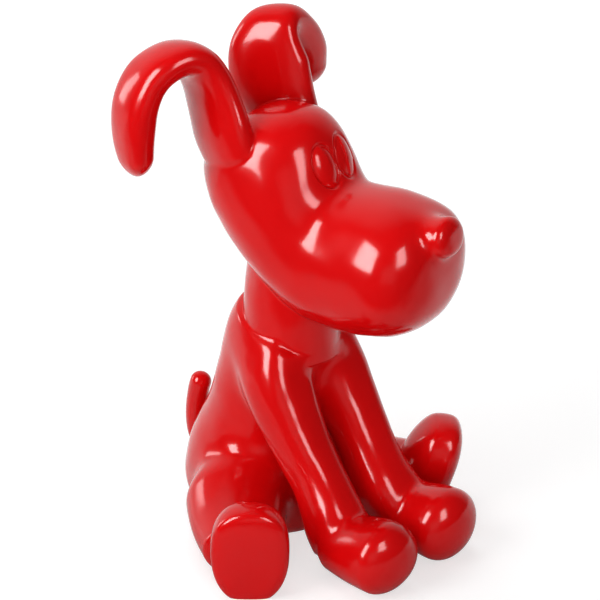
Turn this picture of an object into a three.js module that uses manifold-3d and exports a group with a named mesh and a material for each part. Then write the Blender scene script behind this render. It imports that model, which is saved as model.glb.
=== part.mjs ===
// A seated dog in gloss red lacquered resin: hollow body and head castings, with the legs, paws,
// ears, tail, nose and eyes cast apart, pinned and bonded on.
// Units are millimetres and +Z is up. The dog faces -Y and its right side is -X.
// The origin is on the ground, under the felt pad below the rump.
import * as THREE from 'three';
import { mergeVertices } from 'three/addons/utils/BufferGeometryUtils.js';
import Module from 'manifold-3d';

// Walls, seams and pins.
const SEAM = 0.3;
const BODY_WALL = 12;
const HEAD_WALL = 8;
const HOLLOW_TOP = 88;
const PIN_RADIUS = 4;
const TAIL_PIN_RADIUS = 2.5;

// The closed base: a felt pad on the ground, a plywood plate over it, and a weight on the plate.
const RIM_LIFT = 1;
const RIM_WALL = 4;
const PAD_THICKNESS = 3;
const PLATE_THICKNESS = 9;
const WEIGHT_HEIGHT = 20;
const WEIGHT_MARGIN = 6;
const SCREW = { count: 4, shank: 1.75, head: 3.6, headDepth: 2.4, length: 22 };

// The body from rump to shoulders. Each row is one ring: belly y and z, back y and z, half width.
const BODY = [
  [-58, RIM_LIFT, 51, RIM_LIFT, 48],
  [-61.5, 9, 62, 12, 57.5],
  [-59.5, 25.5, 67.5, 27, 60],
  [-54, 44, 66.5, 45, 58.5],
  [-48, 67, 60.5, 67, 53.5],
  [-48, 93, 48, 94, 47],
  [-53, 123, 37, 125, 44.5],
  [-59, 144, 30.5, 152, 43.5],
  [-66, 157.5, 21, 182, 42],
  [-65.5, 169, 9.5, 199, 37.5],
];
const NECK = { y: -31, foot: 150, waist: 210, top: 259, lean: 5, radius: 38.5, topRadius: 35 };

// The head, seen from its side. Each row is one ring: upper y and z, lower y and z, half width, and
// how far the ring narrows towards its upper point. y is counted from the neck's axis.
const HEAD = [
  [-145, 256, -145, 256, 0, 0],
  [-142.5, 282, -141.5, 230, 32, 0],
  [-129, 301, -121, 206.5, 54, 0],
  [-107, 310.5, -98.5, 197, 62.5, 0],
  [-85, 312.5, -74.5, 193.5, 62.5, -0.02],
  [-64, 311.5, -50.5, 193, 60.5, -0.04],
  [-51, 315, -29, 196.5, 59, -0.06],
  [-42.5, 331.5, -6.5, 208, 58.5, -0.08],
  [-30.5, 353, 14.5, 224, 59, -0.08],
  [-5.5, 366, 35, 244.5, 58, -0.04],
  [28, 361, 54, 268.5, 53, 0],
  [55, 342, 67, 294, 35, 0],
  [73.5, 317, 73.5, 317, 0, 0],
];
const HEAD_TURN = 10.5;
const NOSE = [
  [0, -108, 296, 12, 10],
  [0, -124, 296, 14, 11],
  [0, -139, 295, 15.5, 12],
  [0, -154, 293, 15.5, 12.5],
];
// The eyes sit side by side on the brow, as a pair a little to the dog's left of the middle.
const EYE = { x: -12.8, y: -42.2, z: 330, half: 12, tall: 17.8, proud: 3.5, toLeft: 0.7 };
const EYE_SLANT = [-0.09, 0.47, 0.88];
const EYE_FACING = [-0.18, -0.88, 0.44];

// Limbs as they are on the right side. Each row is one station: x, y, z, half width and half depth.
// The left ear is folded lower and tighter than the right one.
const EAR = {
  right: [
    [-33, 29, 318, 28, 18],
    [-35.5, 39.5, 347, 32.5, 20],
    [-36.5, 49.5, 379.5, 33, 18.5],
    [-49, 56, 409, 28.5, 17],
    [-72, 65, 411.5, 26, 17],
    [-94, 75.5, 393, 25, 17.5],
    [-103.5, 76.3, 358.5, 22.5, 17.5],
    [-105.5, 70, 322, 16, 14],
  ],
  left: [
    [-33, 29, 318, 28, 18],
    [-34, 40.5, 347, 34, 19],
    [-33, 48.5, 380, 34, 18.5],
    [-41.5, 51, 406, 26.5, 18.5],
    [-59, 55.5, 405, 24.5, 17],
    [-79, 61, 383, 24.5, 15.5],
    [-91, 64, 360, 22, 15.5],
    [-94, 60, 337, 16, 13],
  ],
};
const EAR_TURN = 5;
const EAR_DISH = 0.5;
const FRONT_LEG = [
  [-19, -24, 181, 13, 21],
  [-25.5, -33, 162, 19.5, 24],
  [-30.5, -45, 138, 25, 25.5],
  [-31.5, -66, 103, 23.5, 23],
  [-31.5, -92, 70, 21, 21.5],
  [-34.5, -114, 44, 23.5, 24],
  [-37.5, -131, 22.5, 26.5, 25.5],
];
const PAW = [
  [-37.5, -125, 23, 26.5, 23.5],
  [-37.5, -144, 28, 30, 28.5],
  [-37.5, -166, 30.5, 32, 31.5],
  [-38, -189.5, 29.5, 29.5, 29.5],
];
const PAW_SET_BACK = { right: 0, left: 3 };
const HAUNCH = [
  [-32, 1.5, 40, 39.5, 40],
  [-50, -16, 33, 40.5, 35.5],
  [-72, -40, 26.5, 38, 28],
  [-91, -61, 23.5, 32.5, 24],
  [-106, -78.5, 22.5, 28.5, 22],
];
// Hind feet: back from the sole, half width and half height. The dog sets its left foot a little
// further forward than its right one, and leans it further back.
const FOOT = [[46, 20, 27], [31, 27.5, 38.5], [15, 31, 43], [0, 30.5, 42]];
const FOOT_EDGE = 6;
const SPLAY = 46;
const HIND_RIGHT = { x: -126, y: -107.5, z: 36, lean: 6, shift: [0, 0] };
const HIND_LEFT = { x: -108, y: -110.5, z: 31.5, lean: 18, shift: [4, -5] };
const TAIL = [
  [0, 54, 24, 10, 10],
  [0, 74, 37, 9.5, 9.5],
  [0, 78.5, 57, 9.2, 9.2],
  [0, 76.5, 78, 9.2, 9.2],
  [0, 70, 95, 8.8, 8.8],
];

const LACQUER = new THREE.MeshStandardMaterial({ color: 0xd31218, roughness: 0.12, metalness: 0 });
const STEEL = new THREE.MeshStandardMaterial({ color: 0x9da1a5, roughness: 0.35, metalness: 1 });
const PLYWOOD = new THREE.MeshStandardMaterial({ color: 0xb98f5d, roughness: 0.8, metalness: 0 });
const FELT = new THREE.MeshStandardMaterial({ color: 0x5d1417, roughness: 0.95, metalness: 0 });
const CEMENT = new THREE.MeshStandardMaterial({ color: 0x8b8983, roughness: 0.9, metalness: 0 });

const wasm = await Module();
wasm.setup();
const X_AXIS = new THREE.Vector3(1, 0, 0);
const Z_AXIS = new THREE.Vector3(0, 0, 1);
const SPLAY_OUT = new THREE.Vector3(
  -Math.sin(THREE.MathUtils.degToRad(SPLAY)), -Math.cos(THREE.MathUtils.degToRad(SPLAY)), 0);
const SPLAY_ACROSS = new THREE.Vector3(SPLAY_OUT.y, -SPLAY_OUT.x, 0);
const EAR_ACROSS = new THREE.Vector3(0.31, 0.93, -0.2);

// The row at share t of a list of rows, on a smooth curve through all of them.
function through(rows, t) {
  const spans = rows.length - 1;
  const i = Math.min(Math.floor(t * spans), spans - 1);
  const f = t * spans - i;
  return rows[i].map((here, k) => {
    const next = rows[i + 1][k];
    const before = i > 0 ? rows[i - 1][k] : 2 * here - next;
    const after = i + 2 <= spans ? rows[i + 2][k] : 2 * next - here;
    const leave = (next - before) / 2;
    const arrive = (after - here) / 2;
    return (2 * f ** 3 - 3 * f ** 2 + 1) * here + (f ** 3 - 2 * f ** 2 + f) * leave
      + (3 * f ** 2 - 2 * f ** 3) * next + (f ** 3 - f ** 2) * arrive;
  });
}

// One closed section about its middle, as [across, up] pairs of a unit size.
function section(sides, { power = 2, egg = 0, dish = 0 }) {
  return Array.from({ length: sides }, (_, i) => {
    const angle = (i / sides) * 2 * Math.PI;
    const c = Math.cos(angle);
    const s = Math.sin(angle);
    const reach = (Math.abs(c) ** power + Math.abs(s) ** power) ** (-1 / power);
    const up = s * reach;
    const across = c * reach * (1 + egg * up);
    return [across, up < 0 ? up * (1 - dish * (1 - across ** 2)) : up];
  });
}

// A closed skin over rings of points, with a fan at each end.
function skin(rings, first, last) {
  const sides = rings[0].length;
  const points = [...rings.flat(), first, last];
  const index = [];
  for (let i = 0; i + 1 < rings.length; i += 1) {
    for (let j = 0; j < sides; j += 1) {
      const a = i * sides + j;
      const b = i * sides + ((j + 1) % sides);
      index.push(a, b, b + sides, a, b + sides, a + sides);
    }
  }
  const end = (rings.length - 1) * sides;
  for (let j = 0; j < sides; j += 1) {
    const next = (j + 1) % sides;
    index.push(points.length - 2, next, j, points.length - 1, end + j, end + next);
  }
  const geometry = new THREE.BufferGeometry();
  const flat = points.flatMap((p) => [p.x, p.y, p.z]);
  geometry.setAttribute('position', new THREE.Float32BufferAttribute(flat, 3));
  geometry.setIndex(index);
  return geometry;
}

// A closed three.js geometry as a solid, turned right side out if it came inside out.
function solid(geometry) {
  geometry.deleteAttribute('normal');
  geometry.deleteAttribute('uv');
  const merged = mergeVertices(geometry, 1e-4);
  const build = (order) => new wasm.Manifold(new wasm.Mesh({
    numProp: 3,
    vertProperties: new Float32Array(merged.attributes.position.array),
    triVerts: new Uint32Array(order),
  }));
  const index = Array.from(merged.index.array);
  const made = build(index);
  return made.volume() > 0 ? made : build(index.reverse());
}

// A form lofted between an upper and a lower profile line in the plane of symmetry.
function loft(rows, { rings, sides, grow = 0, from = 0, to = 1 }) {
  const ring = (t) => {
    const [upperY, upperZ, lowerY, lowerZ, half, egg = 0] = through(rows, t);
    const middle = new THREE.Vector3(0, (upperY + lowerY) / 2, (upperZ + lowerZ) / 2);
    const rise = new THREE.Vector3(0, upperY - lowerY, upperZ - lowerZ).multiplyScalar(0.5);
    const length = Math.max(rise.length(), 1e-6);
    rise.multiplyScalar(Math.max(length + grow, 1) / length);
    const wide = Math.max(half + grow, 1);
    return section(sides, { egg }).map(([across, up]) => middle.clone()
      .addScaledVector(X_AXIS, across * wide).addScaledVector(rise, up));
  };
  const pole = (t, inner) => {
    const [upperY, upperZ, lowerY, lowerZ, half] = through(rows, t);
    const at = new THREE.Vector3(0, (upperY + lowerY) / 2, (upperZ + lowerZ) / 2);
    const [nextUpperY, nextUpperZ, nextLowerY, nextLowerZ] = through(rows, inner);
    const next = new THREE.Vector3(0, (nextUpperY + nextLowerY) / 2, (nextUpperZ + nextLowerZ) / 2);
    return half > 0 ? at : at.addScaledVector(at.clone().sub(next).normalize(), grow);
  };
  const poled = rows[0][4] === 0;
  const shares = Array.from({ length: rings + 1 }, (_, i) => from + ((to - from) * i) / rings);
  const used = poled ? shares.slice(1, -1) : shares;
  return skin(used.map(ring), pole(from, shares[1]), pole(to, shares[rings - 1]));
}

// Where the rings of a limb stand along it: distance, share of the full size, and inset.
function ringStops(length, { dome, roundStart = 0, roundEnd, flatEnd }, between) {
  const angles = [22, 45, 68].map((degrees) => THREE.MathUtils.degToRad(degrees));
  const stops = [];
  angles.forEach((a) => stops.push([(roundStart || dome) * (1 - Math.cos(a)), Math.sin(a), 0]));
  const start = roundStart || dome;
  const end = flatEnd || roundEnd || dome;
  for (let i = 0; i <= between; i += 1) {
    stops.push([start + ((length - start - end) * i) / between, 1, 0]);
  }
  [...angles].reverse().forEach((a) => stops.push(flatEnd
    ? [length - end * (1 - Math.cos(a)), 1, end * (1 - Math.sin(a))]
    : [length - end * (1 - Math.cos(a)), Math.sin(a), 0]));
  if (flatEnd) stops.push([length, 1, end]);
  return stops;
}

// A form swept along the curve through its stations, with domed ends or a flat far end.
function limb(rows, across, shape, { between, sides, grow = 0 }) {
  const steps = 160;
  const line = Array.from({ length: steps + 1 }, (_, i) => through(rows, i / steps));
  const spots = line.map(([x, y, z]) => new THREE.Vector3(x, y, z));
  const run = [0];
  for (let i = 1; i <= steps; i += 1) run.push(run[i - 1] + spots[i].distanceTo(spots[i - 1]));
  const total = run[steps] + 2 * grow;
  const at = (distance) => {
    const along = Math.min(Math.max(distance - grow, 0), run[steps]);
    const i = Math.max(1, run.findIndex((d) => d >= along - 1e-9));
    const f = (along - run[i - 1]) / (run[i] - run[i - 1]);
    const heading = spots[i].clone().sub(spots[i - 1]).normalize();
    const spot = spots[i - 1].clone().lerp(spots[i], f)
      .addScaledVector(heading, distance - grow - along);
    const [, , , half, deep] = line[i - 1].map((v, k) => v + (line[i][k] - v) * f);
    return { spot, heading, half: half + grow, deep: deep + grow };
  };
  const grown = { ...shape };
  ['dome', 'roundStart', 'roundEnd', 'flatEnd'].forEach((key) => {
    if (shape[key]) grown[key] = shape[key] + grow;
  });
  const rings = ringStops(total, grown, between).map(([distance, share, inset]) => {
    const { spot, heading, half, deep } = at(distance);
    const side = across.clone().addScaledVector(heading, -across.dot(heading)).normalize();
    const up = heading.clone().cross(side);
    return section(sides, shape).map(([a, u]) => spot.clone()
      .addScaledVector(side, a * (half * share - inset))
      .addScaledVector(up, u * (deep * share - inset)));
  });
  return skin(rings, at(0).spot, at(total).spot);
}

// The same geometry on the dog's other side.
function mirrored(geometry) {
  const other = geometry.clone();
  other.scale(-1, 1, 1);
  return other;
}

// A head-group geometry, turned about the neck's axis and set over the neck.
function onNeck(geometry, degrees) {
  return geometry.clone().rotateZ(THREE.MathUtils.degToRad(degrees)).translate(0, NECK.y, 0);
}

// A round bar between two points, longer and thicker by a clearance where it cuts its own bore.
function bar(start, end, radius, clearance = 0) {
  const a = new THREE.Vector3(...start);
  const b = new THREE.Vector3(...end);
  const geometry = new THREE.CylinderGeometry(
    radius + clearance, radius + clearance, a.distanceTo(b) + 2 * clearance, 12);
  const turn = new THREE.Quaternion().setFromUnitVectors(
    new THREE.Vector3(0, 1, 0), b.clone().sub(a).normalize());
  return geometry.applyQuaternion(turn).translate(...a.add(b).multiplyScalar(0.5).toArray());
}

// The piece itself, without the crumbs that a cut can leave.
function whole(made) {
  return made.decompose().reduce((best, part) => (part.volume() > best.volume() ? part : best));
}

function geometryOf(made) {
  const mesh = made.getMesh();
  const geometry = new THREE.BufferGeometry();
  geometry.setAttribute('position', new THREE.Float32BufferAttribute(mesh.vertProperties, 3));
  geometry.setIndex(Array.from(mesh.triVerts));
  geometry.computeVertexNormals();
  return geometry;
}

const dog = new THREE.Group();
function place(name, made, material) {
  const mesh = new THREE.Mesh(geometryOf(made), material);
  mesh.name = name;
  dog.add(mesh);
}

// A flat ellipse inside the base ring, between two heights.
function basePlug(margin, low, high) {
  const [belly, , back, , half] = BODY[0];
  const outline = new THREE.Shape();
  outline.absellipse(0, (belly + back) / 2, half - margin, (back - belly) / 2 - margin,
    0, 2 * Math.PI);
  const geometry = new THREE.ExtrudeGeometry(
    outline, { depth: high - low, bevelEnabled: false, curveSegments: 18 });
  return solid(geometry.translate(0, 0, low));
}

const groundReach = 600;
const ground = solid(new THREE.BoxGeometry(groundReach, groundReach, groundReach)
  .translate(0, 0, -groundReach / 2));
const plateFoot = PAD_THICKNESS + SEAM;
const plateTop = plateFoot + PLATE_THICKNESS;
const plateMargin = RIM_WALL + SEAM;
const underRim = basePlug(0, -1, RIM_LIFT);

// Body and neck, hollow from the base up to the chest.
const bodyDetail = { rings: 18, sides: 26 };
const neckRows = [
  [0, NECK.y, NECK.foot, NECK.radius, NECK.radius],
  [0, NECK.y, NECK.waist, NECK.radius, NECK.radius],
  [0, NECK.y - NECK.lean, NECK.top, NECK.topRadius, NECK.topRadius],
];
const neckShape = { dome: 6 };
const neckDetail = { between: 2, sides: 26 };
const bodyOuter = (grow) => solid(loft(BODY, { ...bodyDetail, grow }))
  .add(solid(limb(neckRows, X_AXIS, neckShape, { ...neckDetail, grow })));
const hollowRows = BODY.map(([bellyY, bellyZ, backY, backZ, half]) => [
  bellyY, Math.min(bellyZ, HOLLOW_TOP), backY, Math.min(backZ, HOLLOW_TOP), half]);
const hollowRings = hollowRows.filter((row, i) => i === 0 || row[1] > hollowRows[i - 1][1]);
hollowRings[0] = [BODY[0][0], plateTop, BODY[0][2], plateTop, BODY[0][4]];
hollowRings.splice(1, 1);
const hollow = solid(loft(hollowRings, { rings: 5, sides: 18, grow: -BODY_WALL }));

// Limbs of the right side, and the same with a seam all round for cutting their seats.
const legShape = { roundStart: 20, roundEnd: 14, power: 2.6 };
const legAt = (grow) => limb(FRONT_LEG, X_AXIS, legShape, { between: 5, sides: 16, grow });
const pawShape = { roundStart: 12, roundEnd: 21 };
const pawAt = (name) => limb(PAW, X_AXIS, pawShape, { between: 2, sides: 18 })
  .translate(0, PAW_SET_BACK[name], 0);
const haunchShape = { roundStart: 35, roundEnd: 13 };
const haunchAt = (side, grow) => limb(HAUNCH.map(([x, y, z, half, deep]) => [
  x + side.shift[0], y + side.shift[1], z, half, deep,
]), SPLAY_ACROSS, haunchShape, { between: 3, sides: 18, grow });
const footShape = { roundStart: 20, flatEnd: FOOT_EDGE, power: 2.4, egg: -0.1 };
const footAt = (side, grow) => {
  const lean = THREE.MathUtils.degToRad(side.lean);
  const out = SPLAY_OUT.clone().multiplyScalar(Math.cos(lean)).addScaledVector(Z_AXIS, -Math.sin(lean));
  const sole = new THREE.Vector3(side.x, side.y, side.z);
  const rows = FOOT.map(([back, half, tall]) => [
    ...sole.clone().addScaledVector(out, -back).toArray(), half, tall]);
  return limb(rows, SPLAY_ACROSS, footShape, { between: 2, sides: 20, grow });
};
const earShape = { roundStart: 14, roundEnd: 16, dish: EAR_DISH };
const earAt = (name) => limb(EAR[name], EAR_ACROSS, earShape, { between: 10, sides: 16 });
const tailAt = (grow) => limb(TAIL, X_AXIS, { dome: 7 }, { between: 4, sides: 12, grow });

// Pins, each from inside one casting to inside its neighbour.
const pins = {
  shoulder: [[-32, -47, 131], [-5, -18, 131]],
  hip: [[-72, -40, 33], [-45, -11, 37]],
  wrist: [[-36, -120, 34], [-37, -160, 31]],
  ankle: [[-92, -62, 30], [-113, -85, 32]],
  ear: [[-39, 41, 351], [-34, 29.5, 323]],
  tail: [[0, 53, 23], [0, 74, 36]],
};
const pinBar = ([start, end], clearance = 0) => bar(start, end, PIN_RADIUS, clearance);
const shifted = (pin, side) => pin.map(([x, y, z]) => [x + side.shift[0], y + side.shift[1], z]);

const hands = [
  { name: 'right', hind: HIND_RIGHT, turn: (geometry) => geometry },
  { name: 'left', hind: HIND_LEFT, turn: mirrored },
];

// The head casting, its hollow and its neck socket.
const headAt = (detail) => solid(onNeck(loft(HEAD, detail), HEAD_TURN));
const headDetail = { rings: 24, sides: 26 };
const eyeAt = (grow) => {
  const facing = new THREE.Vector3(...EYE_FACING).normalize();
  const rise = new THREE.Vector3(...EYE_SLANT);
  rise.addScaledVector(facing, -rise.dot(facing)).normalize();
  const across = rise.clone().cross(facing);
  const frame = new THREE.Matrix4().makeBasis(across, rise, facing)
    .scale(new THREE.Vector3(EYE.half + grow, EYE.tall + grow, EYE.proud + grow))
    .setPosition(EYE.x, EYE.y, EYE.z);
  return new THREE.SphereGeometry(1, 16, 10).rotateX(Math.PI / 2).applyMatrix4(frame);
};
const headGrown = headAt({ ...headDetail, grow: SEAM });
let head = headAt(headDetail)
  .subtract(headAt({ rings: 12, sides: 16, grow: -HEAD_WALL }))
  .subtract(solid(limb(neckRows, X_AXIS, neckShape, { ...neckDetail, grow: SEAM })));

const bodyGrown = bodyOuter(SEAM);
let body = bodyOuter(0)
  .subtract(hollow)
  .subtract(basePlug(RIM_WALL, -1, plateTop + SEAM));

hands.forEach(({ name, hind, turn }) => {
  const leg = solid(turn(legAt(0)));
  const legSeat = solid(turn(legAt(SEAM)));
  const bore = (pin) => solid(turn(pinBar(pin, SEAM)));
  const hip = shifted(pins.hip, hind);
  const ankle = shifted(pins.ankle, hind);

  body = body.subtract(legSeat).subtract(bore(pins.shoulder)).subtract(bore(hip));
  place(`${name}_front_leg`,
    whole(leg.subtract(ground).subtract(bore(pins.shoulder)).subtract(bore(pins.wrist))), LACQUER);
  place(`${name}_front_paw`,
    whole(solid(turn(pawAt(name))).subtract(ground).subtract(legSeat).subtract(bore(pins.wrist))),
    LACQUER);

  const haunch = solid(turn(haunchAt(hind, 0))).subtract(ground).subtract(underRim);
  const haunchSeat = solid(turn(haunchAt(hind, SEAM)));
  place(`${name}_haunch`,
    whole(haunch.subtract(bodyGrown).subtract(bore(hip)).subtract(bore(ankle))), LACQUER);
  place(`${name}_hind_foot`,
    whole(solid(turn(footAt(hind, 0))).subtract(ground).subtract(haunchSeat).subtract(bore(ankle))),
    LACQUER);

  const earBore = solid(onNeck(turn(pinBar(pins.ear, SEAM)), EAR_TURN));
  place(`${name}_ear`,
    whole(solid(onNeck(turn(earAt(name)), EAR_TURN)).subtract(headGrown).subtract(earBore)), LACQUER);
  const eye = (grow) => solid(onNeck(turn(eyeAt(grow)).translate(EYE.toLeft, 0, 0), HEAD_TURN));
  place(`${name}_eye`, eye(0), LACQUER);
  head = head.subtract(earBore).subtract(eye(SEAM));

  place(`${name}_shoulder_pin`, solid(turn(pinBar(pins.shoulder))), STEEL);
  place(`${name}_hip_pin`, solid(turn(pinBar(hip))), STEEL);
  place(`${name}_wrist_pin`, solid(turn(pinBar(pins.wrist))), STEEL);
  place(`${name}_ankle_pin`, solid(turn(pinBar(ankle))), STEEL);
  place(`${name}_ear_pin`, solid(onNeck(turn(pinBar(pins.ear)), EAR_TURN)), STEEL);
});

// Nose: a blunt knob that points forward from the top of the muzzle.
const nose = limb(NOSE, X_AXIS, { roundStart: 6, roundEnd: 11 }, { between: 2, sides: 16 });
place('nose', whole(solid(onNeck(nose, HEAD_TURN)).subtract(headGrown)), LACQUER);
place('head_shell', whole(head), LACQUER);

// Tail and its pin.
const tailBore = solid(bar(...pins.tail, TAIL_PIN_RADIUS, SEAM));
place('tail', whole(solid(tailAt(0)).subtract(bodyGrown).subtract(tailBore)), LACQUER);
place('tail_pin', solid(bar(...pins.tail, TAIL_PIN_RADIUS)), STEEL);
body = body.subtract(tailBore);

// Screws up through the plate into the ledge of the body casting.
const screwMargin = (RIM_WALL + BODY_WALL) / 2;
const [bellyY, , backY, , baseHalf] = BODY[0];
const screwSpots = Array.from({ length: SCREW.count }, (_, i) => {
  const angle = ((i + 0.5) / SCREW.count) * 2 * Math.PI;
  return [
    Math.cos(angle) * (baseHalf - screwMargin),
    (bellyY + backY) / 2 + Math.sin(angle) * ((backY - bellyY) / 2 - screwMargin)];
});
const screwAt = ([x, y], grow) => {
  const { shank, head: headRadius, headDepth, length } = SCREW;
  const outline = [
    [0, -grow], [headRadius + grow, -grow], [shank + grow, headDepth + grow],
    [shank + grow, length + grow], [0, length + grow],
  ].map(([r, z]) => new THREE.Vector2(r, z));
  return solid(new THREE.LatheGeometry(outline, 12).rotateX(Math.PI / 2)
    .translate(x, y, plateFoot));
};
const screwBores = screwSpots.map((spot) => screwAt(spot, SEAM)).reduce((all, one) => all.add(one));
body = body.subtract(screwBores);
place('body_shell', whole(body), LACQUER);

place('base_plate', basePlug(plateMargin, plateFoot, plateTop).subtract(screwBores), PLYWOOD);
screwSpots.forEach((spot, i) => place(`base_screw_${i + 1}`, screwAt(spot, 0), STEEL));
place('felt_pad', basePlug(plateMargin, 0, PAD_THICKNESS), FELT);
place('base_weight',
  basePlug(BODY_WALL + WEIGHT_MARGIN, plateTop + SEAM, plateTop + SEAM + WEIGHT_HEIGHT), CEMENT);

export default dog;
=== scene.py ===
"""A seated dog sculpture in gloss red lacquered resin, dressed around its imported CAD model.

Every casting is one closed surface worked out on a grid, in millimetres, and handed to Blender in
metres. Where castings meet, both are drawn onto one shared surface, so the filler that the maker
smoothed over each joint shows as a soft fillet, and the lacquer runs over it without a seam.
"""
import logging
import math
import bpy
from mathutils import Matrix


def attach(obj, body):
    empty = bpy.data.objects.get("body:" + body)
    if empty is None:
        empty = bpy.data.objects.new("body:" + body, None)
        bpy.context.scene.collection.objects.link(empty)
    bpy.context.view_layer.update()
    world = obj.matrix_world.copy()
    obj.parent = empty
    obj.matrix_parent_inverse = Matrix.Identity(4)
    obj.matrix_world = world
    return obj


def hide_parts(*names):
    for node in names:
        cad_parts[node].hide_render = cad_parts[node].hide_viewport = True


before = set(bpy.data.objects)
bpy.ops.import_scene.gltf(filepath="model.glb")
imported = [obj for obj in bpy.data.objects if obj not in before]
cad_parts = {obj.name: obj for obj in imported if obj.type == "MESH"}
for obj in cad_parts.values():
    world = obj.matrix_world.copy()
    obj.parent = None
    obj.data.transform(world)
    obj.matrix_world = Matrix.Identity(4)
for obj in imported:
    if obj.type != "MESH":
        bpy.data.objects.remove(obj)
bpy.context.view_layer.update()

from concurrent.futures import ThreadPoolExecutor
from dataclasses import dataclass, field
from enum import Enum

import bpy
import numpy as np
from mathutils import Vector

log = logging.getLogger("seated_dog")

MM = 0.001
Array = np.ndarray
Rows = tuple[tuple[float, ...], ...]


class Side(Enum):
    """Which side of the dog a casting is on."""

    RIGHT = "right"
    LEFT = "left"


# Shapes

def unit(vectors: Array) -> Array:
    """Scale vectors to length one.

    Args:
        vectors: rows of vectors.

    Returns:
        The same directions, each of length one.
    """
    return vectors / np.maximum(np.linalg.norm(vectors, axis=-1, keepdims=True), 1e-9)


def dot(first: Array, second: Array) -> Array:
    """Multiply vectors row by row into single numbers."""
    return np.sum(first * second, axis=-1)


class Spline:
    """A curve through evenly spaced rows of numbers: a natural cubic, straight past its ends."""

    def __init__(self, rows: Array, length: float) -> None:
        """Solve for the curve's bend at each row.

        The bends m follow from m[i-1] + 4 m[i] + m[i+1] = 6 (r[i-1] - 2 r[i] + r[i+1]), with none
        at the two ends.

        Args:
            rows: the numbers to pass through, one row per knot.
            length: the parameter's value at the last row; the first has zero.
        """
        count = len(rows)
        matrix = np.eye(count)
        right = np.zeros_like(rows)
        inner = np.arange(1, count - 1)
        matrix[inner, inner] = 4
        matrix[inner, inner - 1] = 1
        matrix[inner, inner + 1] = 1
        right[1:-1] = 6 * (rows[:-2] - 2 * rows[1:-1] + rows[2:])
        self.rows = rows
        self.bends = np.linalg.solve(matrix, right)
        self.step = length / (count - 1)

    def at(self, place: Array) -> tuple[Array, Array]:
        """Read the curve.

        Args:
            place: parameter values, which may lie past the ends.

        Returns:
            The values there and their slopes.
        """
        spot = place / self.step
        knot = np.clip(np.floor(spot), 0, len(self.rows) - 2).astype(int)
        whole = (spot - knot)[:, None]
        right = np.clip(whole, 0, 1)
        left = 1 - right
        low, high = self.rows[knot], self.rows[knot + 1]
        low_bend, high_bend = self.bends[knot], self.bends[knot + 1]
        value = left * low + right * high + (
            (left ** 3 - left) * low_bend + (right ** 3 - right) * high_bend) / 6
        slope = high - low + (
            (3 * right ** 2 - 1) * high_bend - (3 * left ** 2 - 1) * low_bend) / 6
        return value + (whole - right) * slope, slope / self.step


@dataclass(frozen=True)
class Dome:
    """A rounded end of a form: how long it is and how square, where 2 is an ellipse."""

    length: float = 0.0
    square: float = 2.0


@dataclass
class Placing:
    """Where a form stands: flipped or not, turned about an upright axis, then moved."""

    flipped: bool = False
    turn: float = 0.0
    shift: tuple[float, float, float] = (0.0, 0.0, 0.0)

    def inward(self, points: Array) -> Array:
        """Take points of the dog into the form's own frame."""
        moved = points - np.array(self.shift)
        cos, sin = math.cos(math.radians(self.turn)), math.sin(math.radians(self.turn))
        x = moved[:, 0] * cos + moved[:, 1] * sin
        y = moved[:, 1] * cos - moved[:, 0] * sin
        return np.stack([-x if self.flipped else x, y, moved[:, 2]], axis=-1)

    def outward(self, points: Array) -> Array:
        """Take points of the form's own frame to the dog."""
        x = -points[:, 0] if self.flipped else points[:, 0]
        cos, sin = math.cos(math.radians(self.turn)), math.sin(math.radians(self.turn))
        turned = np.stack(
            [x * cos - points[:, 1] * sin, x * sin + points[:, 1] * cos, points[:, 2]], axis=-1)
        return turned + np.array(self.shift)


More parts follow.
